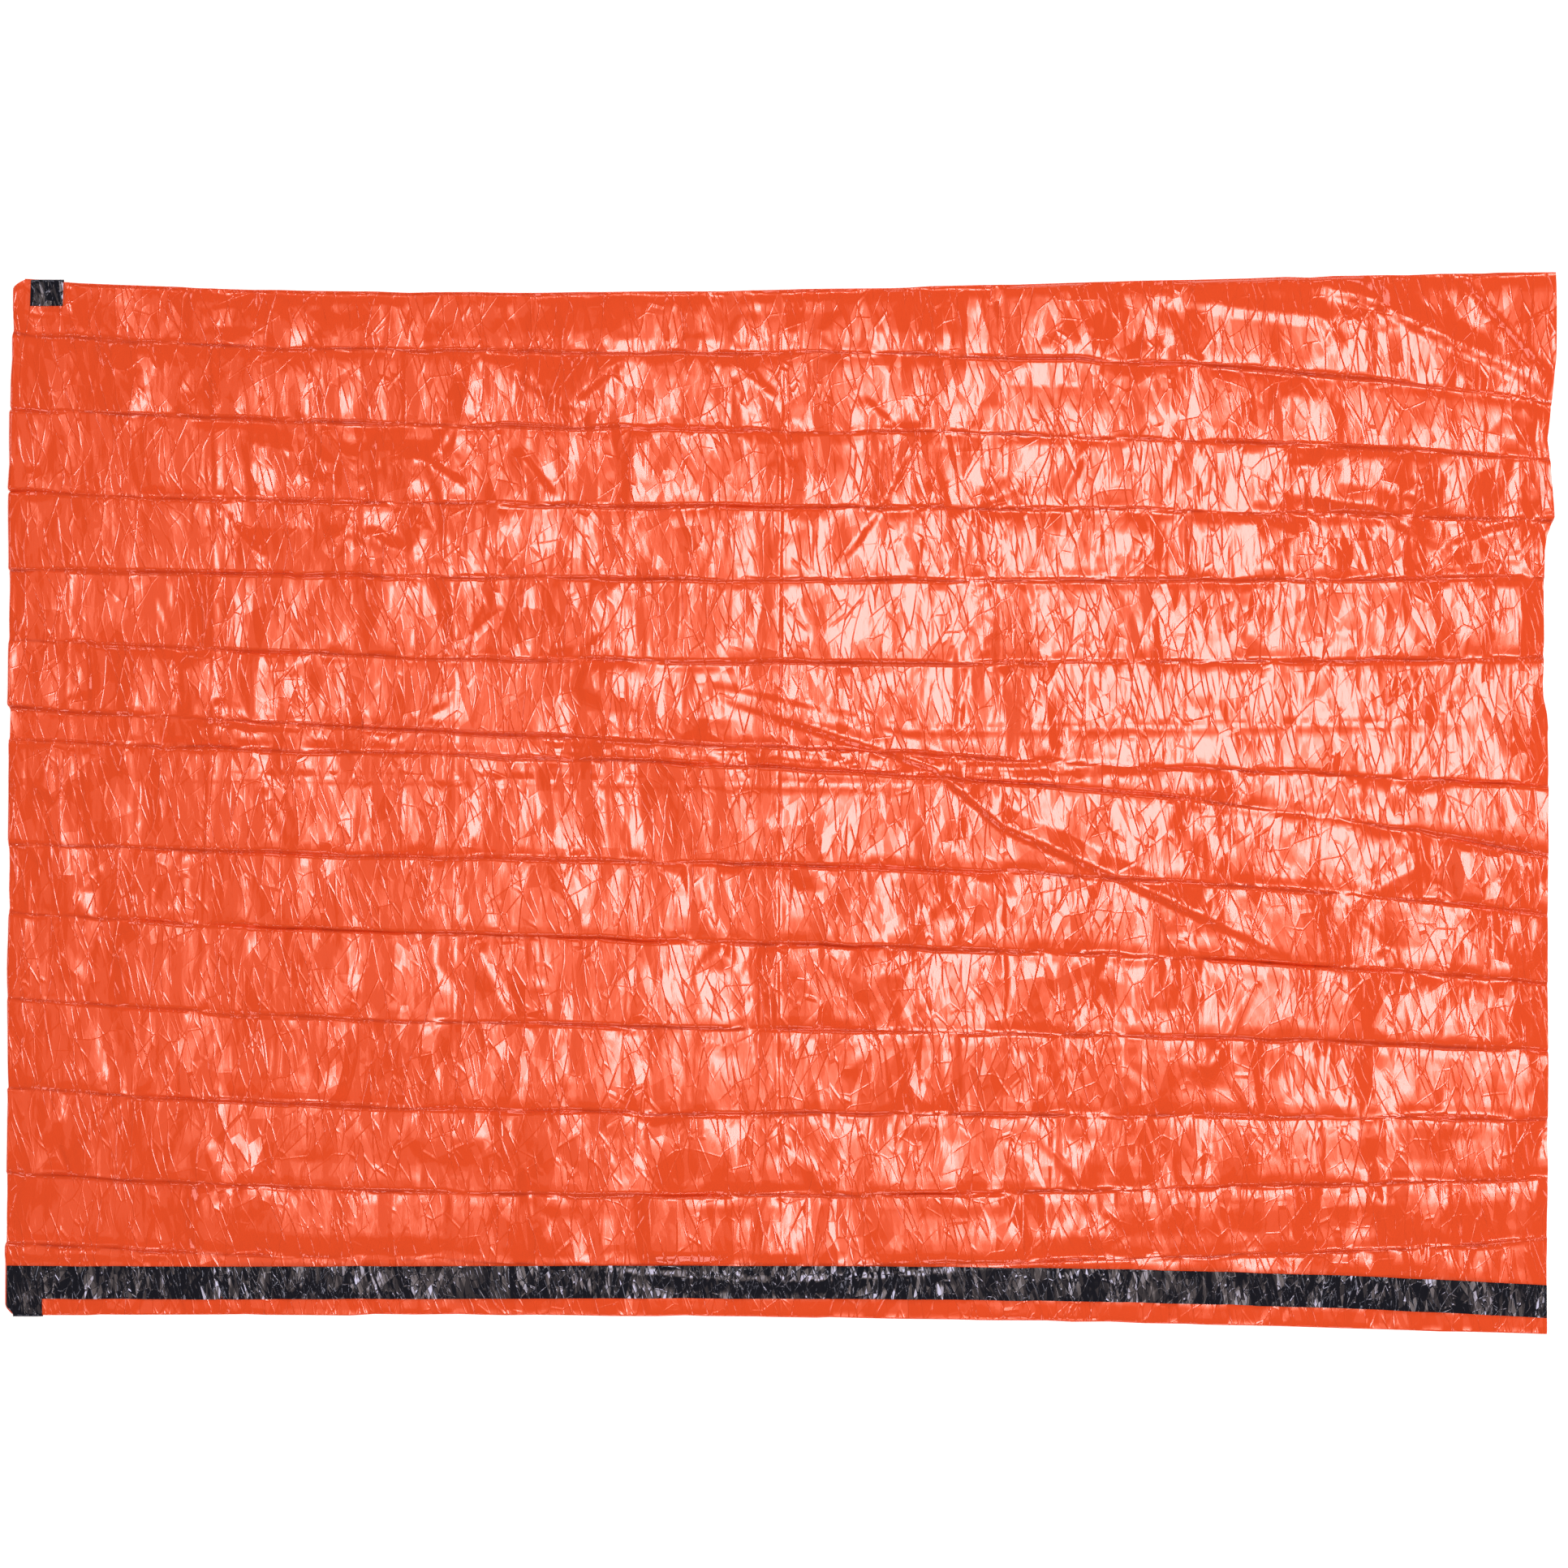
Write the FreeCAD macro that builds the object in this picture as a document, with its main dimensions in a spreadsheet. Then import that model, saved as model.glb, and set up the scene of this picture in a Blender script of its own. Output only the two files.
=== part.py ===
import FreeCAD, Part
import math
import os
import Sketcher

# An emergency bivy sack lying flat: one sheet of film wrapped into a flat tube, closed at the foot by a taped hem,
# closed along one side by a taped overlap, and open at the mouth. It folds in half at the crease across its middle.
#
# The frame is in millimetres. The origin is on the ground under the middle of the sack, +X runs from the foot to
# the mouth, +Y to the plainly folded side, -Y to the taped side, and +Z is up. The film is drawn thicker than it is:
# each panel stands for the depth that crumpled film takes up.

SIZES = {
    "length": (2100, "foot edge to mouth edge"),
    "width": (1430, "folded side edge to taped side edge"),
    "height": (16, "ground to the top of the front film, with the air in the crumples"),
    "film": (1.2, "depth of one run of film"),
    "bend": (3, "corner that the film makes at a folded side edge"),
    "edge_leg": (4, "how far a folded side edge reaches in over the panels"),
    "flap_reach": (44, "how far the back film laps onto the front at the taped side"),
    "seam_set_in": (22, "taped side edge to the near edge of the seam tape"),
    "tape_width": (44, "width of both tapes"),
    "tape": (0.3, "thickness of both tapes"),
    "hem_depth": (35, "how far the foot is turned under"),
    "hem": (0.5, "thickness of the film turned under"),
    "foot_tape_set_in": (12, "foot edge to the near edge of the foot tape"),
    "tab_folded_side": (35, "foot tape's end on the front at the folded side"),
    "tab_taped_side": (64, "foot tape's end on the front at the taped side"),
    "ground_gap": (0.1, "foot tape's clearance above the ground"),
    "joint_gap": (0.3, "gap between the two halves at the centre crease"),
}

START, END = 1, 2  # the two ends of a sketch line
ORIGIN, FLAT_AXIS, UPRIGHT_AXIS = -1, -1, -2  # a sketch's own origin and axes

doc = FreeCAD.newDocument("BivySack")


def fill_sheet():
    """Writes the driving sizes into the spreadsheet, one to a row, each under its own alias."""
    sheet = doc.addObject("Spreadsheet::Sheet", "Sizes")
    for row, (alias, (value, meaning)) in enumerate(SIZES.items(), 1):
        sheet.set(f"A{row}", alias)
        sheet.set(f"B{row}", str(value))
        sheet.set(f"C{row}", meaning)
        sheet.setAlias(f"B{row}", alias)
    doc.recompute()


fill_sheet()

# Places that several pieces share, as expressions on the sheet. Y and Z of a cross-section, X along the sack.
HALF_WIDTH = "Sizes.width / 2"
TOP = "Sizes.height"
FLAP_TOP = "Sizes.height + Sizes.film"
FOOT_EDGE = "-Sizes.length / 2"
PANEL_REACH = "Sizes.width / 2 - Sizes.edge_leg"
RECESS = "Sizes.hem + Sizes.tape + Sizes.ground_gap"
RECESS_LENGTH = "Sizes.foot_tape_set_in + Sizes.tape_width"

# Each half of the sack, as where it starts along X and how long it is. The foot half leaves room for the foot wall.
HALVES = {
    "foot": ("-Sizes.length / 2 + Sizes.film", "Sizes.length / 2 - Sizes.film - Sizes.joint_gap / 2"),
    "mouth": ("Sizes.joint_gap / 2", "Sizes.length / 2 - Sizes.joint_gap / 2"),
}


def outline(body, plane, corners, along="0"):
    """A closed polygon on one of the body's own planes. Two sizes from the sheet hold each corner to the origin."""
    sketch = body.newObject("Sketcher::SketchObject", body.Name + "_outline")
    face = next(item for item in body.Origin.OriginFeatures if item.Role == plane)
    sketch.AttachmentSupport = [(face, "")]
    sketch.MapMode = "FlatFace"
    sketch.setExpression("AttachmentOffset.Base.z", along)
    count = len(corners)
    turns = [2 * math.pi * i / count for i in range(count)]
    rough = [FreeCAD.Vector(math.cos(turn), math.sin(turn), 0) for turn in turns]
    for i in range(count):
        sketch.addGeometry(Part.LineSegment(rough[i], rough[(i + 1) % count]))
    for i in range(count):
        sketch.addConstraint(Sketcher.Constraint("Coincident", i, END, (i + 1) % count, START))
    for i, (across, up) in enumerate(corners):
        for kind, size, axis, now in (
            ("DistanceX", across, UPRIGHT_AXIS, rough[i].x),
            ("DistanceY", up, FLAT_AXIS, rough[i].y),
        ):
            if size == "0":
                sketch.addConstraint(Sketcher.Constraint("PointOnObject", i, START, axis))
            else:
                held = sketch.addConstraint(Sketcher.Constraint(kind, ORIGIN, START, i, START, now))
                sketch.setExpression(f"Constraints[{held}]", size)
    return sketch


def pad(body, sketch, length):
    """Pulls an outline along its normal."""
    feature = body.newObject("PartDesign::Pad", body.Name + "_pad")
    feature.Profile = sketch
    feature.setExpression("Length", length)


def run_of_film(label, corners, start, length):
    """A sub-part with the same cross-section all along X, from start over length."""
    body = doc.addObject("PartDesign::Body", label)
    pad(body, outline(body, "YZ_Plane", corners, start), length)
    return body


def cut_hem_recess(body, low, high):
    """Lifts the underside at the foot end, from Y low to Y high, to make room for the hem and the foot tape."""
    end = f"{FOOT_EDGE} + {RECESS_LENGTH}"
    corners = [(FOOT_EDGE, low), (end, low), (end, high), (FOOT_EDGE, high)]
    sketch = outline(body, "XY_Plane", corners)
    recess = body.newObject("PartDesign::Pocket", body.Name + "_recess")
    recess.Profile = sketch
    recess.Reversed = True
    recess.setExpression("Length", RECESS)


def mirrored(corners):
    """The same cross-section on the -Y side."""
    return [(f"-({across})", up) for across, up in corners]


def front_panel(half):
    """The front film: a flat run between the two side edges."""
    low, high, bottom = f"-({PANEL_REACH})", PANEL_REACH, "Sizes.height - Sizes.film"
    corners = [(low, bottom), (high, bottom), (high, TOP), (low, TOP)]
    return run_of_film(f"front_panel_{half}", corners, *HALVES[half])


def back_panel(half):
    """The back film, which the sack lies on. Its foot end is lifted over the hem."""
    low, high = f"-({PANEL_REACH})", PANEL_REACH
    corners = [(low, "0"), (high, "0"), (high, "Sizes.film"), (low, "Sizes.film")]
    body = run_of_film(f"back_panel_{half}", corners, *HALVES[half])
    if half == "foot":
        cut_hem_recess(body, low, high)
    return body


# The cross-section of a side edge: a shallow channel with its corners taken off, open towards the middle.
EDGE_CHANNEL = [
    (PANEL_REACH, "0"),
    ("Sizes.width / 2 - Sizes.bend", "0"),
    (HALF_WIDTH, "Sizes.bend"),
    (HALF_WIDTH, "Sizes.height - Sizes.bend"),
    ("Sizes.width / 2 - Sizes.bend", TOP),
    (PANEL_REACH, TOP),
    (PANEL_REACH, "Sizes.height - Sizes.film"),
    ("Sizes.width / 2 - Sizes.bend", "Sizes.height - Sizes.film"),
    ("Sizes.width / 2 - Sizes.film", "Sizes.height - Sizes.bend"),
    ("Sizes.width / 2 - Sizes.film", "Sizes.bend"),
    ("Sizes.width / 2 - Sizes.bend", "Sizes.film"),
    (PANEL_REACH, "Sizes.film"),
]


def folded_edge(half):
    """The plain side edge at +Y, where the film turns from the back to the front."""
    body = run_of_film(f"folded_edge_{half}", EDGE_CHANNEL, *HALVES[half])
    if half == "foot":
        cut_hem_recess(body, PANEL_REACH, HALF_WIDTH)
    return body


def wrapped_edge(half):
    """The side edge at -Y, where the back film wraps round the front film's cut edge."""
    body = run_of_film(f"wrapped_edge_{half}", mirrored(EDGE_CHANNEL), *HALVES[half])
    if half == "foot":
        cut_hem_recess(body, f"-({HALF_WIDTH})", f"-({PANEL_REACH})")
    return body


def overlap_flap(half):
    """The strip of back film that laps onto the front panel beside the wrapped edge."""
    near = "Sizes.width / 2 - Sizes.bend"
    far = "Sizes.width / 2 - Sizes.flap_reach"
    corners = mirrored([(far, TOP), (near, TOP), (near, FLAP_TOP), (far, FLAP_TOP)])
    return run_of_film(f"overlap_flap_{half}", corners, *HALVES[half])


def seam_tape(half):
    """The tape along the seam: one side of it sits on the flap, and past the flap's edge it steps down to the front."""
    near = "Sizes.width / 2 - Sizes.seam_set_in"
    step_top = "Sizes.width / 2 - Sizes.flap_reach - Sizes.tape"
    step = "Sizes.width / 2 - Sizes.flap_reach"
    far = "Sizes.width / 2 - Sizes.seam_set_in - Sizes.tape_width"
    corners = [
        (near, FLAP_TOP),
        (near, FLAP_TOP + " + Sizes.tape"),
        (step_top, FLAP_TOP + " + Sizes.tape"),
        (step_top, TOP + " + Sizes.tape"),
        (far, TOP + " + Sizes.tape"),
        (far, TOP),
        (step, TOP),
        (step, FLAP_TOP),
    ]
    return run_of_film(f"seam_tape_{half}", mirrored(corners), *HALVES[half])


def foot_wall():
    """The film that closes the foot end, over the hem."""
    lifted = f"Sizes.width / 2 - Sizes.bend + {RECESS}"
    right = [
        (lifted, RECESS),
        (HALF_WIDTH, "Sizes.bend"),
        (HALF_WIDTH, "Sizes.height - Sizes.bend"),
        ("Sizes.width / 2 - Sizes.bend", TOP),
    ]
    return run_of_film("foot_wall", right + mirrored(right)[::-1], FOOT_EDGE, "Sizes.film")


def foot_hem():
    """Both layers of film, turned under at the foot and flattened against the back."""
    low, high = "Sizes.tape + Sizes.ground_gap", RECESS
    corners = [(f"-({HALF_WIDTH})", low), (HALF_WIDTH, low), (HALF_WIDTH, high), (f"-({HALF_WIDTH})", high)]
    return run_of_film("foot_hem", corners, FOOT_EDGE, "Sizes.hem_depth")


def foot_tape():
    """The tape that holds the hem: across the back, round both side edges, with an end on the front at each."""
    outside = "Sizes.width / 2 + Sizes.tape"
    bottom = "Sizes.ground_gap"
    under_hem = "Sizes.ground_gap + Sizes.tape"
    seam_top = FLAP_TOP + " + Sizes.tape"
    corners = [
        (f"-({outside})", bottom),
        (outside, bottom),
        (outside, TOP + " + Sizes.tape"),
        ("Sizes.width / 2 - Sizes.tab_folded_side", TOP + " + Sizes.tape"),
        ("Sizes.width / 2 - Sizes.tab_folded_side", TOP),
        (HALF_WIDTH, TOP),
        (HALF_WIDTH, under_hem),
        (f"-({HALF_WIDTH})", under_hem),
        (f"-({HALF_WIDTH})", seam_top),
        ("-Sizes.width / 2 + Sizes.tab_taped_side", seam_top),
        ("-Sizes.width / 2 + Sizes.tab_taped_side", seam_top + " + Sizes.tape"),
        (f"-({outside})", seam_top + " + Sizes.tape"),
    ]
    return run_of_film("foot_tape", corners, f"{FOOT_EDGE} + Sizes.foot_tape_set_in", "Sizes.tape_width")


pieces = [foot_wall(), foot_hem(), foot_tape()]
for name_of_half in HALVES:
    for make in (front_panel, back_panel, folded_edge, wrapped_edge, overlap_flap, seam_tape):
        pieces.append(make(name_of_half))

doc.recompute()

faults = [item.Name for item in doc.Objects if {"Invalid", "Error"} & set(item.State)]
faults += [piece.Label for piece in pieces if piece.Shape.isNull() or not piece.Shape.isValid()]
if faults:
    raise RuntimeError("these did not build: " + ", ".join(faults))

os.makedirs("parts", exist_ok=True)
for piece in pieces:
    piece.Shape.exportStep(f"parts/{piece.Label}.step")
    box = piece.Shape.BoundBox
    print(
        f"{piece.Label:20} {len(piece.Shape.Solids)} solid, {piece.Shape.Volume / 1000:8.2f} cm3, "
        f"X {box.XMin:8.1f} to {box.XMax:8.1f}, Y {box.YMin:7.1f} to {box.YMax:7.1f}, "
        f"Z {box.ZMin:5.2f} to {box.ZMax:5.2f}"
    )
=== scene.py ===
import bpy
import numpy as np
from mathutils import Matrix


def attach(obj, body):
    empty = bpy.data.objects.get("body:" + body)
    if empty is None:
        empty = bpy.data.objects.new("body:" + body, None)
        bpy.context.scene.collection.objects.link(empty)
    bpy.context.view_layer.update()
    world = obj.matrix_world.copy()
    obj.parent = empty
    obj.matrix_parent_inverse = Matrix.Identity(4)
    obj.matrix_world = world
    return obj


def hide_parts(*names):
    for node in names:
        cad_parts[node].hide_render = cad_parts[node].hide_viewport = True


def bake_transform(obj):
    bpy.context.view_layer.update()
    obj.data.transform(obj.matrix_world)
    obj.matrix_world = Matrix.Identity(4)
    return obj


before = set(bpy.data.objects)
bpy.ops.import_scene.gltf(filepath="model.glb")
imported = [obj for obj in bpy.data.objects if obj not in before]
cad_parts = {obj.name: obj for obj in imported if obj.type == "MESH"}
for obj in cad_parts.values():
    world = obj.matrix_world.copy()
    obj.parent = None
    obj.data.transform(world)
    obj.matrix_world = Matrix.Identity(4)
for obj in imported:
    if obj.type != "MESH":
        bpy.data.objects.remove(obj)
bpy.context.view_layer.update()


# ---- Camera -------------------------------------------------------------------------
# Straight above the sack, which lies open and flat with its foot on the left.
camera = bpy.data.objects.new("camera", bpy.data.cameras.new("camera"))
camera.location = (0.003, 0.024, 5.0)
camera.data.lens = 84.7
bpy.context.scene.collection.objects.link(camera)
bpy.context.scene.camera = camera
bpy.context.scene.view_settings.view_transform = "Standard"


# ---- Floor and studio light ---------------------------------------------------------
# A plain white table. A softbox above the mouth end, brighter step by step towards its middle,
# is what the glossy film mirrors there; the foot end mirrors only its dim, warm outer part.
# Eight low panels stand in a ring round the table.
def principled(name, colour, roughness):
    """A plain material of that colour and roughness, and its shader node."""
    material = bpy.data.materials.new(name)
    material.use_nodes = True
    shader = material.node_tree.nodes["Principled BSDF"]
    shader.inputs["Base Color"].default_value = (*colour, 1)
    shader.inputs["Roughness"].default_value = roughness
    return material, shader


bpy.ops.mesh.primitive_plane_add(size=60, location=(0, 0, -0.001))
floor = bpy.context.object
floor.name = "floor"
floor_paint, floor_shader = principled("floor paint", (0.9, 0.9, 0.9), 0.9)
floor_shader.inputs["Emission Color"].default_value = (1, 1, 1, 1)
floor_shader.inputs["Emission Strength"].default_value = 0.35
floor.data.materials.append(floor_paint)


def softbox(name, place, width, depth, watts, facing_down=True):
    """A rectangular lamp that faces the floor below it, or the middle of the sack."""
    lamp = bpy.data.lights.new(name, "AREA")
    lamp.shape = "RECTANGLE"
    lamp.size = width
    lamp.size_y = depth
    lamp.energy = watts
    panel = bpy.data.objects.new(name, lamp)
    panel.location = place
    if not facing_down:
        panel.rotation_euler = (-panel.location).to_track_quat("-Z", "Y").to_euler()
    panel.visible_camera = False
    bpy.context.scene.collection.objects.link(panel)
    return lamp


for step, (along, across, width, depth, glow, green, blue) in enumerate((
    (0.20, 0.15, 6.6, 4.8, 2.2, 0.80, 0.60),
    (0.85, 0.28, 4.4, 3.7, 4.2, 0.82, 0.62),
    (1.10, 0.34, 3.4, 3.0, 5.5, 0.88, 0.72),
    (1.20, 0.36, 2.7, 2.4, 7.5, 0.95, 0.90),
    (1.20, 0.40, 2.1, 1.9, 12.0, 1.00, 1.12),
    (1.15, 0.42, 1.5, 1.4, 15.0, 1.00, 1.20),
)):
    place = (along, across, 6.5 - 0.1 * step)
    lamp = softbox(f"softbox step {step + 1}", place, width, depth, glow * width * depth)
    lamp.color = (1, green, blue)
for number in range(8):
    bearing = np.pi / 4 * number
    place = (5.5 * np.cos(bearing), 5.5 * np.sin(bearing), 3.0)
    softbox(f"low panel {number + 1}", place, 2.4, 1.4, 42, facing_down=False)

studio = bpy.data.worlds.new("studio")
studio.use_nodes = True
studio.node_tree.nodes["Background"].inputs["Color"].default_value = (0.10, 0.10, 0.105, 1)
bpy.context.scene.world = studio


# ---- Front film ---------------------------------------------------------------------
# The upper layer of the sack: thin polyethylene film, orange outside and aluminised inside.
# It keeps the creases that it was packed in: thirteen folds from foot to mouth with
# flat-sided pleats between them. It is one sheet, cut here into pieces at its folds.
orange = (0.74, 0.072, 0.017)
# Painted shade: a darker orange that the film's colour turns to in a thin line along each fold,
# where the creases fall in shade.
worn_orange = (0.52, 0.042, 0.011)
film, film_shader = principled("orange film", orange, 0.08)
film_shader.inputs["Metallic"].default_value = 0.05
worn_fold = film.node_tree.nodes.new("ShaderNodeAttribute")
worn_fold.attribute_name = "worn"
darker = film.node_tree.nodes.new("ShaderNodeMix")
darker.data_type = "RGBA"
darker.inputs["A"].default_value = (*orange, 1)
darker.inputs["B"].default_value = (*worn_orange, 1)
film.node_tree.links.new(worn_fold.outputs["Fac"], darker.inputs["Factor"])
film.node_tree.links.new(darker.outputs["Result"], film_shader.inputs["Base Color"])


def crinkled(material, shader, tilt, depth, size=1.0):
    """Fine crumples in a film's surface: flat patches, mostly long across the sack, that each
    lean their own way by about tilt, and here and there a sharp ridge of that depth in metres
    between two of them. size is the patches' size against the film's."""
    nodes = material.node_tree.nodes
    link = material.node_tree.links.new

    def node(kind, inputs, **settings):
        made = nodes.new("ShaderNode" + kind)
        for key, value in settings.items():
            setattr(made, key, value)
        for key, value in inputs.items():
            if isinstance(value, (int, float, tuple)):
                made.inputs[key].default_value = value
            else:
                link(value, made.inputs[key])
        return made

    place = nodes.new("ShaderNodeTexCoord").outputs["Object"]
    bent = node("TexNoise", {"Vector": place, "Scale": 5.0, "Detail": 1.0})
    strayed = node(
        "VectorMath", {0: bent.outputs["Color"], 1: (0.05, 0.05, 0), 2: place},
        operation="MULTIPLY_ADD",
    ).outputs[0]
    normal = nodes.new("ShaderNodeNewGeometry").outputs["Normal"]
    uneven = node("TexNoise", {"Vector": place, "Scale": 7.0, "Detail": 1.0})
    # A MapRange node takes a value, the two ends of its range and what they turn into.
    crumpled = node("MapRange", {0: uneven.outputs[0], 1: 0.38, 2: 0.60, 3: 0.35, 4: 1.15})
    ridges = 0.0
    for width, length, turn, lean, drawn in (
        (0.022, 0.100, 0.14, 1.0, 1.0),
        (0.010, 0.055, -0.26, 0.9, 1.0),
        (0.026, 0.050, 0.6, 0.7, 0.5),
    ):
        turned = node("VectorRotate", {"Vector": strayed, "Angle": turn}, rotation_type="Z_AXIS")
        cells = (1 / (size * width), 1 / (size * length), 1)
        scaled = node(
            "VectorMath", {0: turned.outputs[0], 1: cells}, operation="MULTIPLY",
        ).outputs[0]
        cell = node("TexVoronoi", {"Vector": scaled, "Scale": 1.0}, voronoi_dimensions="2D")
        centred = node(
            "VectorMath", {0: cell.outputs["Color"], 1: (0.5, 0.5, 0.5)}, operation="SUBTRACT",
        )
        more = node(
            "VectorMath", {0: centred.outputs[0], "Scale": crumpled.outputs[0]}, operation="SCALE",
        )
        most = (2.2 * tilt * lean, 1.3 * tilt * lean, 0)
        leaning = node(
            "VectorMath", {0: more.outputs[0], 1: most, 2: normal}, operation="MULTIPLY_ADD",
        )
        normal = leaning.outputs[0]
        border = node(
            "TexVoronoi", {"Vector": scaled, "Scale": 1.0},
            voronoi_dimensions="2D", feature="DISTANCE_TO_EDGE",
        )
        line = node(
            "MapRange", {0: border.outputs["Distance"], 1: 0.0, 2: 0.0010 / width, 3: 1.0, 4: 0.0},
        )
        patchy = node("TexNoise", {"Vector": scaled, "Scale": 0.6, "Detail": 1.0})
        strong = node("MapRange", {0: patchy.outputs[0], 1: 0.45, 2: 0.60, 3: 0.0, 4: 1.2 * drawn})
        drawn_line = {0: line.outputs[0], 1: strong.outputs[0], 2: ridges}
        ridges = node("Math", drawn_line, operation="MULTIPLY_ADD").outputs[0]
    normal = node("VectorMath", {0: normal}, operation="NORMALIZE").outputs[0]
    stretched = node("VectorMath", {0: strayed, 1: (150, 34, 1)}, operation="MULTIPLY").outputs[0]
    streaks = node("TexNoise", {"Vector": stretched, "Scale": 1.0, "Detail": 2.0, "Roughness": 0.6})
    rough = node("Math", {0: streaks.outputs[0], 1: 0.7, 2: ridges}, operation="MULTIPLY_ADD")
    height = node("Math", {0: rough.outputs[0], 1: depth}, operation="MULTIPLY").outputs[0]
    bump = node("Bump", {"Height": height, "Distance": 1.0, "Strength": 1.0, "Normal": normal})
    link(bump.outputs[0], shader.inputs["Normal"])


crinkled(film, film_shader, 0.085, 0.00034)


def wander(seed, x, gap, size):
    """A line that strays a little to either side, with a kink about every gap."""
    rng = np.random.default_rng(seed)
    kinks = np.arange(-1.2, 1.2, gap) + rng.uniform(0, gap, len(np.arange(-1.2, 1.2, gap)))
    return np.interp(x, kinks, rng.normal(0, size, len(kinks)))


def through(*heights, seed=0, stray=0.0010):
    """A line from foot to mouth through four heights, evenly spaced along it."""
    line = np.polyfit((-0.986, -0.344, 0.298, 0.940), heights, 3)
    return lambda x: np.polyval(line, x) + wander(seed, x, 0.045, stray)


# Where a sheet's two ends lie along X before they are trimmed, and how many points the front
# film has from one to the other.
foot_at = -1.045
mouth_at = 1.040
front_columns = 950
far_edge = through(0.703, 0.688, 0.6985, 0.714, seed=1, stray=0.0006)
near_edge = through(-0.693, -0.693, -0.700, -0.716, seed=2, stray=0.0006)
folds = [
    through(0.630, 0.609, 0.602, 0.555, seed=3),
    through(0.528, 0.508, 0.497, 0.469, seed=4),
    through(0.417, 0.402, 0.397, 0.384, seed=5),
    through(0.313, 0.303, 0.300, 0.303, seed=6),
    through(0.216, 0.193, 0.188, 0.194, seed=7),
    through(0.123, 0.089, 0.058, 0.027, seed=8),
    through(0.081, 0.060, 0.027, -0.055, seed=9),
    through(-0.058, -0.077, -0.096, -0.142, seed=10),
    through(-0.153, -0.183, -0.202, -0.238, seed=11),
    through(-0.271, -0.301, -0.313, -0.332, seed=12),
    through(-0.392, -0.418, -0.424, -0.429, seed=13),
    through(-0.504, -0.531, -0.528, -0.512, seed=14),
    through(-0.602, -0.624, -0.624, -0.599, seed=15),
]


def foot_end(y):
    """Where the foot end lies, a few millimetres either way. Its far corner is rounded and its
    near corner cut off."""
    rounded = 0.9 * ((y - 0.694).clip(0) / 0.010) ** 2 * 0.010
    cut_off = 0.9 * (-0.6835 - y).clip(0, 0.010)
    strays = wander(16, y, 0.06, 0.0006)
    return foot_at + 0.0055 * np.clip(y / 0.6, -1, 1) ** 3 + strays + (rounded + cut_off)


def mouth_end(y):
    """Where the cut edge at the mouth lies: not quite straight, with two nicks towards the
    folded edge."""
    stops = (-0.72, 0.10, 0.14, 0.34, 0.36, 0.385, 0.42, 0.49, 0.536, 0.60, 0.72)
    edge = (1.036, 1.037, 1.030, 1.033, 1.036, 1.046, 1.044, 1.036, 1.042, 1.049, 1.049)
    return np.interp(y, stops, edge) + wander(17, y, 0.05, 0.0006)


def trimmed(x, y):
    """Moves the ends of a sheet that runs from foot_at to mouth_at to where they really lie."""
    at_foot = np.clip((-0.9 - x) / 0.145, 0, 1)
    at_mouth = np.clip((x - 0.9) / 0.140, 0, 1)
    return x + at_foot * (foot_end(y) - foot_at) + at_mouth * (mouth_end(y) - mouth_at)


def inland(x, y):
    """0 on the edges of the sack and 1 in its middle; the mouth is open and gapes a little."""
    to_long_side = np.minimum(far_edge(x) - y, y - near_edge(x))
    to_end = np.minimum(x + 1.05, 1.065 - x)
    return 1 - np.exp(-np.minimum(to_long_side, to_end).clip(0) / 0.06)


def lay(x, y):
    """How high the film would lie if it were smooth: the sack holds a little air."""
    swell = np.sin(5.1 * x + 7.3 * y + 0.4) + np.sin(11.7 * x - 4.1 * y + 2.0)
    swell += np.sin(3.1 * x - 12.9 * y + 4.4) + 0.7 * np.sin(17.0 * x + 9.0 * y + 1.1)
    return 0.0045 + inland(x, y) * (0.0043 + 0.0008 * swell)


def pleats(seed, x, v, gap, slope, lean, levels=2, alike=0.8):
    """Flat-sided pleats between two folds; v runs from 0 at one fold to 1 at the next. Each
    crease has its own place and height at every level, alike from one to the next."""
    rng = np.random.default_rng(seed)
    count = int(2.3 / gap)
    start = np.sort(rng.uniform(-1.15, 1.15, count))
    shared = rng.laplace(0, slope, count)
    places = []
    rises = []
    for level in range(levels):
        at = np.sort(start + rng.normal(0, lean, count))
        own = rng.normal(0, slope, count)
        steps = (alike * shared + (1 - alike) * own) * np.diff(at, prepend=at[0])
        rise = np.zeros(count)
        for i in range(1, count):
            rise[i] = 0.75 * rise[i - 1] + steps[i]
        places.append(at)
        rises.append(rise)
    z = np.zeros_like(x)
    for row, share in enumerate(v):
        level = min(int(share * (levels - 1)), levels - 2)
        part = share * (levels - 1) - level
        at = places[level] * (1 - part) + places[level + 1] * part
        z[row] = np.interp(x[row], at, rises[level] * (1 - part) + rises[level + 1] * part)
    return z


def sharp_lines(seed, x, v, gap, height):
    """Narrow creases that cross part of the way from one fold to the next, up or down."""
    rng = np.random.default_rng(seed)
    count = int(2.3 / gap)
    foot = -1.15 + gap * (np.arange(count) + rng.uniform(-0.3, 0.3, count))
    lean = rng.normal(0, 0.35 * gap, count)
    half_width = rng.uniform(0.0016, 0.0030, count)
    rise = rng.normal(0, height, count)
    middle = rng.uniform(0, 1, count)
    reach = rng.uniform(0.2, 0.9, count)
    z = np.zeros_like(x)
    for row, share in enumerate(v):
        at = np.sort(foot + lean * share)
        top = rise * (1 - np.abs(share - middle) / reach).clip(0)
        places = np.stack([at - half_width, at, at + half_width], -1).ravel()
        z[row] = np.interp(x[row], places, np.stack([0 * top, top, 0 * top], -1).ravel())
    return z


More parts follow.
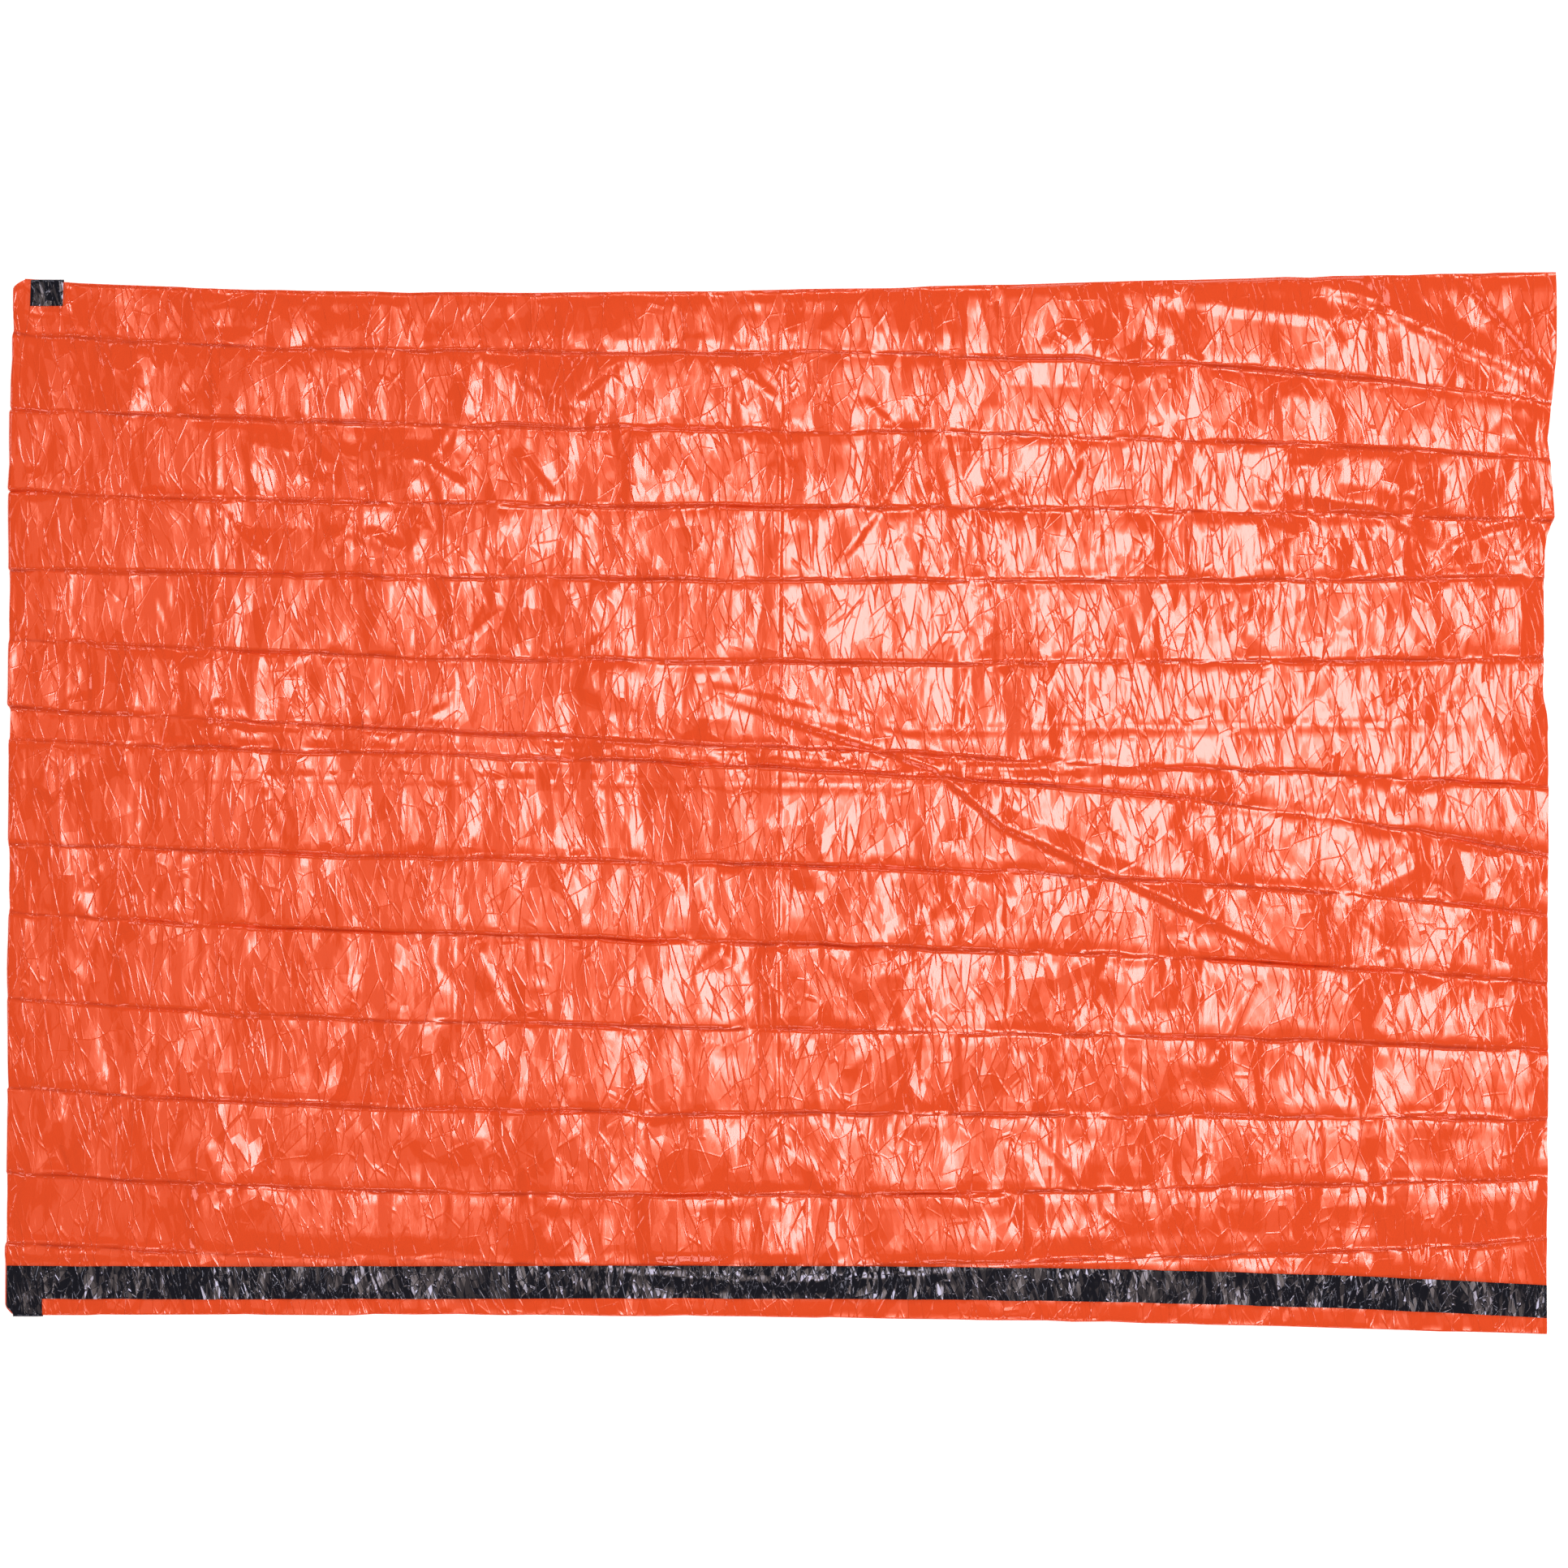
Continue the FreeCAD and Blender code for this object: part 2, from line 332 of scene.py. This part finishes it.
def folded_sheet(seed, columns, row_step):
    """A layer of the sack as a grid whose rows follow the folds: x, y, the height of its
    creases, how slack it is and how much painted shade darkens it along the folds at each point,
    and the row at which each fold lies."""
    lines = [far_edge, *folds, near_edge]
    across = np.linspace(foot_at, mouth_at, columns)
    parts = []
    starts = [0]
    for k, (upper, lower) in enumerate(zip(lines[:-1], lines[1:])):
        first = k == 0
        last = k == len(lines) - 2
        top = upper(across)
        low = lower(across)
        wide = float(np.mean(top - low))
        # The rows lie closer together beside the folds.
        fine = np.array([0, 0.0009, 0.002, 0.004])
        steps = max(3, round((wide - 0.012) / row_step))
        middle = np.linspace(0.0065, wide - 0.0065, steps)
        v = np.concatenate([fine, middle, wide - fine[::-1]]) / wide
        if not last:
            v = v[:-1]
        y = top + (low - top) * v[:, None]
        x = np.broadcast_to(across, y.shape).copy()
        from_top = top - y
        from_low = y - low
        near = np.minimum(from_top, from_low)
        # Pleats and narrow creases, which fade out over the last 4 mm to a fold.
        free = np.minimum(1, near / 0.004)
        z = 0.0004 * np.sin(np.pi * v)[:, None] + np.zeros_like(x)
        z += free * pleats(seed + k, x, v, 0.036, 0.048, 0.014)
        z += free * pleats(seed + 160 + k, x, v, 0.022, 0.036, 0.018, levels=4, alike=0.9)
        z += free * pleats(seed + 40 + k, x, v, 0.009, 0.025, 0.005, levels=3)
        z += free * sharp_lines(seed + 240 + k, x, v, 0.016, 0.00035)
        z += free * sharp_lines(seed + 280 + k, x, v, 0.023, 0.00045)
        # Short creases that start at a fold and die away from it.
        lash = np.exp(-from_top / 0.010) * np.minimum(1, from_top / 0.0025)
        z += lash * pleats(seed + 80 + k, x, v, 0.008, 0.06, 0.012)
        lash = np.exp(-from_low / 0.007) * np.minimum(1, from_low / 0.0025)
        z += lash * pleats(seed + 120 + k, x, v, 0.009, 0.05, 0.012)
        # The folds themselves: a low rise or dip by turns, with a sharp groove along it.
        if not first:
            sharp = 0.00018 + wander(seed + 200 + k, across, 0.05, 0.0002)
            bent = (-1) ** k * 0.0005 * (1 - from_top / 0.025).clip(0)
            z += bent - sharp * np.exp(-from_top / 0.0012)
        if not last:
            sharp = 0.00018 + wander(seed + 201 + k, across, 0.05, 0.0002)
            bent = (-1) ** k * 0.0005 * (1 - from_low / 0.025).clip(0)
            z -= bent + sharp * np.exp(-from_low / 0.0012)
        slack = np.minimum(1, near / 0.015)
        slack = np.maximum(slack, 0 if first or last else 0.15)
        # Painted shade along the folds: the colour darkens in a thin line beside each fold, where
        # the crease falls in shade, by a strength that wanders along it.
        worn = np.zeros_like(x)
        if not first:
            shade_strength = 0.4 + wander(seed + 320 + k, across, 0.03, 0.4)
            worn += (1 - from_top / 0.0030).clip(0) * shade_strength.clip(0, 1)
        if not last:
            shade_strength = 0.4 + wander(seed + 321 + k, across, 0.03, 0.4)
            worn += (1 - from_low / 0.0030).clip(0) * shade_strength.clip(0, 1)
        parts.append((x, y, z, slack, worn))
        starts.append(starts[-1] + len(v))
    x, y, z, slack, worn = (np.concatenate(part) for part in zip(*parts))
    # The seam tape and the foot tape's far end hold the film down.
    under_tape = np.clip((near_edge(x) + 0.082 - y) / 0.010, 0, 1)
    under_tab = np.clip((-0.962 - x) / 0.008, 0, 1) * np.clip((y - 0.662) / 0.006, 0, 1)
    covered = np.maximum(under_tape, under_tab)
    return trimmed(x, y), y, (1 - 0.88 * covered) * z, (1 - covered) * slack, worn, starts


def crease(x, y, stops, height, left, right):
    """A ridge along the stops with a narrow crest, sloping over left and right metres on its
    two sides and fading out towards its two ends."""
    stops = np.array(stops)
    lengths = np.hypot(*np.diff(stops, axis=0).T)
    total = lengths.sum()
    done = 0
    rise = np.zeros_like(x)
    for (ax, ay), (bx, by), length in zip(stops[:-1], stops[1:], lengths):
        ux = (bx - ax) / length
        uy = (by - ay) / length
        s = np.clip((x - ax) * ux + (y - ay) * uy, 0, length)
        side = (y - ay) * ux - (x - ax) * uy
        away = np.hypot(np.hypot(x - ax - s * ux, y - ay - s * uy), 0.0015)
        fade = np.minimum(1, np.minimum(done + s, total - done - s) / (0.2 * total))
        rise = np.maximum(rise, (1 - away / np.where(side > 0, left, right)).clip(0) * fade)
        done += length
    return height * rise


front_x, front_y, front_z, front_slack, front_worn, starts = folded_sheet(11, front_columns, 0.0043)
pleat_limit = 0.0060
front_z = pleat_limit * np.tanh(front_z / pleat_limit)
# The larger creases: height, how far each slopes to its left and its right, and its stops.
for height, left, right, *stops in (
    (
        0.0055, 0.026, 0.007,
        (-0.114, 0.151), (0.205, 0.047), (0.298, -0.032), (0.501, -0.123), (0.699, -0.216),
    ),
    (0.0030, 0.008, 0.030, (0.188, 0.503), (0.133, 0.398), (0.073, 0.316)),
    (0.0020, 0.010, 0.020, (0.417, 0.486), (0.369, 0.398)),
    (0.0025, 0.015, 0.030, (-0.119, -0.123), (-0.031, -0.293)),
    (0.0020, 0.020, 0.010, (0.809, 0.437), (0.907, 0.388)),
    (0.0020, 0.020, 0.010, (-0.893, -0.403), (-0.970, -0.491)),
    (0.0020, 0.020, 0.010, (-0.938, 0.628), (-0.851, 0.527)),
    (
        0.0045, 0.030, 0.007,
        (0.704, 0.702), (0.801, 0.673), (0.868, 0.639), (0.968, 0.595), (1.046, 0.550),
    ),
    (0.0020, 0.020, 0.010, (0.775, 0.704), (0.822, 0.662)),
    (0.0045, 0.007, 0.030, (0.915, 0.711), (0.983, 0.631), (1.048, 0.563)),
    (0.0020, 0.020, 0.010, (0.523, 0.678), (0.655, 0.661), (0.868, 0.639)),
    (
        0.0018, 0.010, 0.012,
        (-0.20, 0.165), (-0.08, 0.150), (0.17, 0.097), (0.43, 0.10), (1.04, 0.109),
    ),
    (0.0018, 0.010, 0.012, (-1.04, 0.037), (-0.47, 0.031), (0.04, 0.022), (0.31, 0.022)),
    (0.0040, 0.030, 0.012, (-0.386, 0.597), (-0.292, 0.538), (-0.204, 0.609)),
    (0.0035, 0.012, 0.030, (-0.080, 0.609), (-0.006, 0.538)),
    (0.0040, 0.030, 0.025, (-0.751, 0.491), (-0.587, 0.450), (-0.433, 0.467)),
    (0.0030, 0.012, 0.025, (-0.516, 0.479), (-0.421, 0.420)),
    (0.0030, 0.010, 0.025, (-0.363, 0.479), (-0.304, 0.403)),
    (0.0030, 0.010, 0.025, (-0.763, 0.397), (-0.692, 0.320)),
    (0.0030, 0.020, 0.012, (-0.634, 0.338), (-0.586, 0.367), (-0.504, 0.332), (-0.480, 0.379)),
    (0.0030, 0.012, 0.025, (0.521, 0.662), (0.551, 0.603), (0.580, 0.579)),
    (0.0030, 0.025, 0.012, (0.674, 0.420), (0.804, 0.397), (0.898, 0.344)),
    (0.0035, 0.012, 0.040, (0.875, 0.303), (0.910, 0.344), (1.040, 0.391)),
    (0.0030, 0.012, 0.025, (-0.416, -0.183), (-0.366, -0.299)),
    (0.0020, 0.012, 0.020, (-0.026, -0.441), (0.084, -0.535)),
    (0.0035, 0.030, 0.050, (0.249, -0.002), (0.180, -0.150), (0.106, -0.288)),
    (0.0022, 0.004, 0.030, (0.004, 0.78), (-0.002, 0.30), (-0.006, -0.20), (-0.002, -0.72)),
    (0.0010, 0.012, 0.003, (-0.775, 0.78), (-0.768, 0.45), (-0.772, 0.10), (-0.790, -0.30)),
    (0.0008, 0.003, 0.012, (-0.470, 0.60), (-0.440, 0.20), (-0.445, -0.60)),
    (0.0008, 0.012, 0.003, (-0.215, 0.50), (-0.205, -0.10), (-0.220, -0.60)),
    (0.0008, 0.003, 0.012, (0.300, 0.78), (0.296, 0.20), (0.304, -0.50)),
    (0.0008, 0.012, 0.003, (0.560, 0.55), (0.545, 0.10), (0.570, -0.60)),
    (0.0008, 0.003, 0.008, (-0.960, 0.42), (-0.966, 0.15), (-0.955, -0.07)),
):
    front_z += crease(front_x, front_y, stops, height, left, right)
# Eighty more short ones lie about at random, mostly across the sack.
stray = np.random.default_rng(77)
for number in range(80):
    middle = stray.uniform((-1.0, -0.54), (1.0, 0.66))
    angle = np.pi / 2 + stray.normal(0, 0.55)
    half = stray.uniform(0.02, 0.08) * np.array((np.cos(angle), np.sin(angle)))
    height = stray.uniform(0.0008, 0.0022)
    left, right = stray.uniform(0.005, 0.030, 2)
    front_z += crease(front_x, front_y, (middle - half, middle + half), height, left, right)
front_z = np.maximum(front_z + lay(front_x, front_y), 0.0018)


def grid(name, x, y, z, material, slot, up=True, **points):
    """A sheet of film or tape as a mesh with a quad for each cell of the grid. points are the
    values that it carries at each of its points."""
    rows, columns = x.shape
    at = np.arange(rows * columns).reshape(rows, columns)
    corners = [at[:-1, :-1], at[1:, :-1], at[1:, 1:], at[:-1, 1:]]
    if not up:
        corners.reverse()
    faces = np.stack(corners, -1).reshape(-1)
    mesh = bpy.data.meshes.new(name)
    mesh.vertices.add(x.size)
    mesh.vertices.foreach_set("co", np.stack([x, y, z], -1).astype(np.float32).ravel())
    mesh.loops.add(faces.size)
    mesh.loops.foreach_set("vertex_index", faces.astype(np.int32))
    mesh.polygons.add(faces.size // 4)
    mesh.polygons.foreach_set("loop_start", np.arange(0, faces.size, 4, dtype=np.int32))
    mesh.polygons.foreach_set("use_smooth", np.ones(faces.size // 4, bool))
    mesh.update(calc_edges=True)
    for label, values in points.items():
        attribute = mesh.attributes.new(label, "FLOAT", "POINT")
        attribute.data.foreach_set("value", values.astype(np.float32).ravel())
    mesh.materials.append(material)
    piece = bpy.data.objects.new(name, mesh)
    bpy.context.scene.collection.objects.link(piece)
    return piece


def crumple_tree():
    """Geometry Nodes: lifts a sheet into small flat-faced crumples wherever it is slack."""
    tree = bpy.data.node_groups.new("film crumple", "GeometryNodeTree")
    tree.interface.new_socket("Geometry", in_out="INPUT", socket_type="NodeSocketGeometry")
    for label in ("Height", "Cell Width", "Cell Length", "Turn", "Seed"):
        tree.interface.new_socket(label, in_out="INPUT", socket_type="NodeSocketFloat")
    tree.interface.new_socket("Material", in_out="INPUT", socket_type="NodeSocketMaterial")
    tree.interface.new_socket("Geometry", in_out="OUTPUT", socket_type="NodeSocketGeometry")
    nodes = tree.nodes
    link = tree.links.new
    given = nodes.new("NodeGroupInput")
    position = nodes.new("GeometryNodeInputPosition")
    slack = nodes.new("GeometryNodeInputNamedAttribute")
    slack.data_type = "FLOAT"
    slack.inputs["Name"].default_value = "slack"

    def maths(operation, first, second):
        node = nodes.new("ShaderNodeMath")
        node.operation = operation
        for socket, value in zip(node.inputs, (first, second)):
            if isinstance(value, (int, float)):
                socket.default_value = value
            else:
                link(value, socket)
        return node.outputs[0]

    def facets(turn, width, length, seed):
        """How far each point is from the middle of its cell. The cells are square, turned and
        stretched."""
        turned = nodes.new("ShaderNodeVectorRotate")
        turned.rotation_type = "Z_AXIS"
        link(position.outputs[0], turned.inputs["Vector"])
        link(turn, turned.inputs["Angle"])
        apart = nodes.new("ShaderNodeSeparateXYZ")
        link(turned.outputs[0], apart.inputs[0])
        cells = nodes.new("ShaderNodeCombineXYZ")
        link(maths("ADD", maths("DIVIDE", apart.outputs[0], width), seed), cells.inputs[0])
        link(maths("DIVIDE", apart.outputs[1], length), cells.inputs[1])
        voronoi = nodes.new("ShaderNodeTexVoronoi")
        voronoi.voronoi_dimensions = "2D"
        voronoi.distance = "CHEBYCHEV"
        voronoi.inputs["Scale"].default_value = 1.0
        link(cells.outputs[0], voronoi.inputs["Vector"])
        return voronoi.outputs["Distance"]

    patchy = nodes.new("ShaderNodeTexNoise")
    patchy.noise_dimensions = "2D"
    patchy.inputs["Scale"].default_value = 6.0
    patchy.inputs["Detail"].default_value = 1.0
    link(position.outputs[0], patchy.inputs["Vector"])
    width = given.outputs["Cell Width"]
    length = given.outputs["Cell Length"]
    turn = given.outputs["Turn"]
    seed = given.outputs["Seed"]
    one = facets(turn, width, length, seed)
    counter_turn = maths("MULTIPLY", turn, -1.7)
    wider = maths("MULTIPLY", width, 1.6)
    two = facets(counter_turn, wider, length, maths("ADD", seed, 7.3))
    rise = maths("ADD", maths("SUBTRACT", 1.0, one), maths("MULTIPLY", two, 1.3))
    rise = maths("MULTIPLY", rise, maths("MULTIPLY", patchy.outputs[0], 1.8))
    full_height = maths("MULTIPLY", given.outputs["Height"], slack.outputs["Attribute"])
    rise = maths("MULTIPLY", rise, full_height)
    upwards = nodes.new("ShaderNodeCombineXYZ")
    link(rise, upwards.inputs[2])
    moved = nodes.new("GeometryNodeSetPosition")
    link(given.outputs["Geometry"], moved.inputs["Geometry"])
    link(upwards.outputs[0], moved.inputs["Offset"])
    real = nodes.new("GeometryNodeRealizeInstances")
    link(moved.outputs[0], real.inputs[0])
    painted = nodes.new("GeometryNodeSetMaterial")
    link(real.outputs[0], painted.inputs["Geometry"])
    link(given.outputs["Material"], painted.inputs["Material"])
    result = nodes.new("NodeGroupOutput")
    link(painted.outputs[0], result.inputs["Geometry"])
    return tree


crumples = crumple_tree()


def crumple(piece, material, height, cell_width, cell_length, turn, seed):
    """Runs the crumple tree on a piece and keeps the plain mesh that it makes."""
    modifier = piece.modifiers.new("crumple", "NODES")
    modifier.node_group = crumples
    chosen = {
        "Height": height,
        "Cell Width": cell_width,
        "Cell Length": cell_length,
        "Turn": turn,
        "Seed": seed,
        "Material": material,
    }
    for item in crumples.interface.items_tree:
        if item.in_out == "INPUT" and item.name in chosen:
            modifier[item.identifier] = chosen[item.name]
    evaluated = piece.evaluated_get(bpy.context.evaluated_depsgraph_get())
    mesh = bpy.data.meshes.new_from_object(evaluated)
    piece.modifiers.remove(modifier)
    piece.data = mesh


def bend_at_centre(piece):
    """Bakes the piece's placement into its mesh. The piece crosses the fold that runs across the
    middle of the sack, but it is not bent there.
    """
    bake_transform(piece)


for number, (first, last) in enumerate(((0, 3), (3, 6), (6, 9), (9, 12), (12, 14)), 1):
    rows = slice(starts[first], starts[last] + 1)
    panel = grid(
        f"front_film_{number}", front_x[rows], front_y[rows], front_z[rows],
        film, "film", slack=front_slack[rows], worn=front_worn[rows],
    )
    crumple(panel, film, 0.0012, 0.030, 0.110, 0.12, 3.0)
    bend_at_centre(panel)
    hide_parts("front_panel_foot", "front_panel_mouth")
    width = float(np.mean(front_y[rows][0] - front_y[rows][-1]))


# ---- Back film ----------------------------------------------------------------------
# The lower layer, lying on the floor with its orange side down. It is the same folded film
# with its creases pressed flatter. At the foot it lifts over the hem and the tape.
back_x, back_y, back_z, _, back_worn, back_starts = folded_sheet(611, 420, 0.0075)
back_height = 0.0006
hem_lift = 0.0006
over_hem = np.clip((-0.985 - back_x) / 0.006, 0, 1)
flatness = 0.18 * inland(back_x, back_y) * (1 - 0.8 * over_hem)
back_z = back_height + hem_lift * over_hem + np.clip(flatness * back_z, -0.0005, 0.0008)
for number, (first, last) in enumerate(((0, 7), (7, 14)), 1):
    rows = slice(back_starts[first], back_starts[last] + 1)
    panel = grid(
        f"back_film_{number}", back_x[rows], back_y[rows], back_z[rows],
        film, "film", up=False, worn=back_worn[rows],
    )
    bend_at_centre(panel)
    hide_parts("back_panel_foot", "back_panel_mouth")
    width = float(np.mean(back_y[rows][0] - back_y[rows][-1]))


# ---- Silver inside ------------------------------------------------------------------
# The aluminised face of both layers, which shows only through the mouth. Each one lies just
# inside its orange face and follows the large creases.
silver, silver_shader = principled("aluminised film", (0.66, 0.67, 0.70), 0.40)
silver_shader.inputs["Metallic"].default_value = 0.55


def lining(name, x, y, z, step, extreme, gap, up, edge_x):
    """The inner face of a layer: every step-th point, kept clear of the layer's own creases."""
    reach = 2 * step + 1
    padded = np.pad(z, step, mode="edge")
    windows = np.lib.stride_tricks.sliding_window_view(padded, (reach, reach))[::step, ::step]
    level = extreme(windows, axis=(2, 3)) + gap
    inner_x = x[::step, ::step].copy()
    inner_x[:, -1] = edge_x(y[::step, ::step][:, -1])
    piece = grid(name, inner_x, y[::step, ::step], level, silver, "film_inside", up=up)
    bend_at_centre(piece)


lining(
    "front_lining", front_x, front_y, front_z, 6, np.min, -0.0002, False,
    lambda y: mouth_end(y) - 0.0006,
)
lining(
    "back_lining", back_x, back_y, back_z, 3, np.max, 0.0002, True,
    lambda y: np.maximum(mouth_end(y) - 0.0006, 1.0475 - 3.2 * (y - 0.45) ** 2),
)


# ---- Folded edge --------------------------------------------------------------------
# Along its far side the sack has no seam: the film simply turns from front to back.
def turned_edge(upper_y, upper_z, lower_z, outward, rows=7):
    """A half-round bend between two heights, bulging outward (+1 or -1 along Y)."""
    angle = np.linspace(np.pi / 2, -np.pi / 2, rows)[:, None]
    middle = (upper_z + lower_z) / 2
    radius = (upper_z - lower_z) / 2
    return upper_y + outward * radius * np.cos(angle), middle + radius * np.sin(angle)


edge_y, edge_z = turned_edge(front_y[0], front_z[0], np.full(front_columns, back_height), 1)
folded_edge = grid(
    "folded_edge", np.broadcast_to(front_x[0], edge_y.shape), edge_y, edge_z,
    film, "film", up=False,
)
bend_at_centre(folded_edge)
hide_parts("folded_edge_foot", "folded_edge_mouth")


# ---- Wrapped edge and overlap flap --------------------------------------------------
# Along its near side the back film comes round the edge and lies over the front film for
# 44 mm. The seam tape holds its free edge down, and 22 mm of it stays in sight.
flap_width = 0.044
flap_x = np.linspace(foot_at, mouth_at, front_columns)
flap_in = np.linspace(0, flap_width, 13)[:, None]
flap_y = near_edge(flap_x) + flap_in
flap_x = np.broadcast_to(flap_x, flap_y.shape)
shown = np.clip(flap_in / 0.004, 0, 1) * np.clip((0.030 - flap_in) / 0.008, 0.1, 1)
flap_z = lay(flap_x, flap_y) + 0.0007
ruffles = pleats(501, flap_x, flap_in[:, 0] / flap_width, 0.009, 0.20, 0.002)
flap_z += shown * ruffles.clip(-0.0006, 0.0009)
flap_x = trimmed(flap_x, flap_y)
edge_y, edge_z = turned_edge(flap_y[0], flap_z[0], np.full(front_columns, back_height), -1)
wrapped_edge = grid(
    "wrapped_edge", np.broadcast_to(flap_x[0], edge_y.shape), edge_y, edge_z, film, "film",
)
bend_at_centre(wrapped_edge)
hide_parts("wrapped_edge_foot", "wrapped_edge_mouth")
overlap_flap = grid("overlap_flap", flap_x, flap_y, flap_z, film, "film", up=False)
bend_at_centre(overlap_flap)
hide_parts("overlap_flap_foot", "overlap_flap_mouth")


# ---- Seam tape ----------------------------------------------------------------------
# Glossy black adhesive tape, 44 mm wide, stuck from foot to mouth over the flap's free edge.
# It wrinkles with the film under it, and is creased along its middle third.
tape, tape_shader = principled("black tape", (0.006, 0.006, 0.009), 0.10)
tape_shader.inputs["IOR"].default_value = 1.62
tape_shader.inputs["Specular Tint"].default_value = (0.82, 0.80, 1.0, 1)
crinkled(tape, tape_shader, 0.22, 0.0003, size=0.45)

tape_edge = through(-0.628, -0.628, -0.630, -0.649, seed=18, stray=0.0003)
tape_width = 0.0445
tape_x = np.linspace(-1.0445, mouth_at, front_columns)
tape_in = np.linspace(0, tape_width, 20)[:, None]
tape_y = tape_edge(tape_x) - tape_in
tape_x = np.broadcast_to(tape_x, tape_y.shape)
under_foot_tape = np.clip((tape_x + 0.995) / 0.02, 0, 1)
wrinkles = pleats(601, tape_x, tape_in[:, 0] / tape_width, 0.018, 0.10, 0.003)
wrinkles += pleats(602, tape_x, tape_in[:, 0] / tape_width, 0.007, 0.10, 0.002)
tape_z = lay(tape_x, tape_y) + 0.0024 + under_foot_tape * wrinkles.clip(-0.0008, 0.0010)
ridge = ((-0.29, -0.632), (-0.223, -0.636), (-0.015, -0.649), (0.15, -0.642), (0.30, -0.630))
tape_z += crease(tape_x, tape_y, ridge, 0.0015, 0.006, 0.018)
seam_tape = grid("seam_tape", trimmed(tape_x, tape_y), tape_y, tape_z, tape, "tape")
bend_at_centre(seam_tape)
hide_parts("seam_tape_foot", "seam_tape_mouth")


# ---- Foot wall and hem --------------------------------------------------------------
# The front film turns down over the foot end and 35 mm of it is tucked under the back film.
hem_height = 0.00065
wall_y = front_y[:, 0]
wall_x, wall_z = turned_edge(-front_x[:, 0], front_z[:, 0], np.full(len(wall_y), hem_height), 1)
foot_wall = grid(
    "foot_wall", -wall_x.T, np.broadcast_to(wall_y[:, None], wall_x.T.shape), wall_z.T,
    film, "film", up=False,
)
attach(foot_wall, "foot_half")
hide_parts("foot_wall")
hem_in = np.linspace(0, 0.035, 8)
hem_x = front_x[:, :1] + hem_in
hem_y = np.broadcast_to(wall_y[:, None], hem_x.shape)
foot_hem = grid("foot_hem", hem_x, hem_y, np.full(hem_x.shape, hem_height), film, "film", up=False)
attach(foot_hem, "foot_half")
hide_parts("foot_hem")


# ---- Foot tape ----------------------------------------------------------------------
# The same black tape closes the foot: it runs across under the hem's free edge, and its two
# ends come round the long edges and are pressed down on the front.
under_sack = 0.0002
over_film = 0.0014
over_seam_tape = 0.0030
bulge = 0.0040
far_y = float(far_edge(-0.995))
near_y = float(near_edge(-1.025))
half_turn = np.linspace(np.pi / 2, -np.pi / 2, 9)[1:-1]
far_height = float(lay(-0.995, far_y)) + over_film - under_sack
near_height = float(lay(-1.025, near_y)) + over_seam_tape - under_sack
far_tab = np.linspace(0.671, far_y, 12)
under = np.linspace(far_y, near_y, 200)
near_tab = np.linspace(near_y, -0.6285, 22)
path_y = np.concatenate([
    far_tab,
    far_y + bulge * np.cos(half_turn),
    under,
    near_y - bulge * np.cos(half_turn),
    near_tab,
])
path_z = np.concatenate([
    np.full_like(far_tab, np.nan),
    under_sack + far_height * (0.5 + 0.5 * np.sin(half_turn)),
    np.full_like(under, under_sack),
    under_sack + near_height * (0.5 - 0.5 * np.sin(half_turn)),
    np.full_like(near_tab, np.nan),
])
share = np.clip((0.70 - path_y) / 1.38, 0, 1)
left_x = -1.0165 - 0.033 * share
right_x = -0.9725 - 0.0285 * share
width_in = np.linspace(0, 1, 14)
foot_x = left_x[:, None] + (right_x - left_x)[:, None] * width_in
foot_y = np.broadcast_to(path_y[:, None], foot_x.shape).copy()
foot_z = np.broadcast_to(path_z[:, None], foot_x.shape).copy()
on_top = np.isnan(foot_z)
raised = np.where(foot_y < 0, over_seam_tape, over_film)
foot_z[on_top] = (lay(foot_x, foot_y) + raised)[on_top]
corner = np.clip(-0.683 - foot_y, 0, 0.009)
foot_x = np.maximum(foot_x, -1.0495 + corner)
foot_tape = grid("foot_tape", foot_x, foot_y, foot_z, tape, "tape", up=False)
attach(foot_tape, "foot_half")
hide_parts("foot_tape")
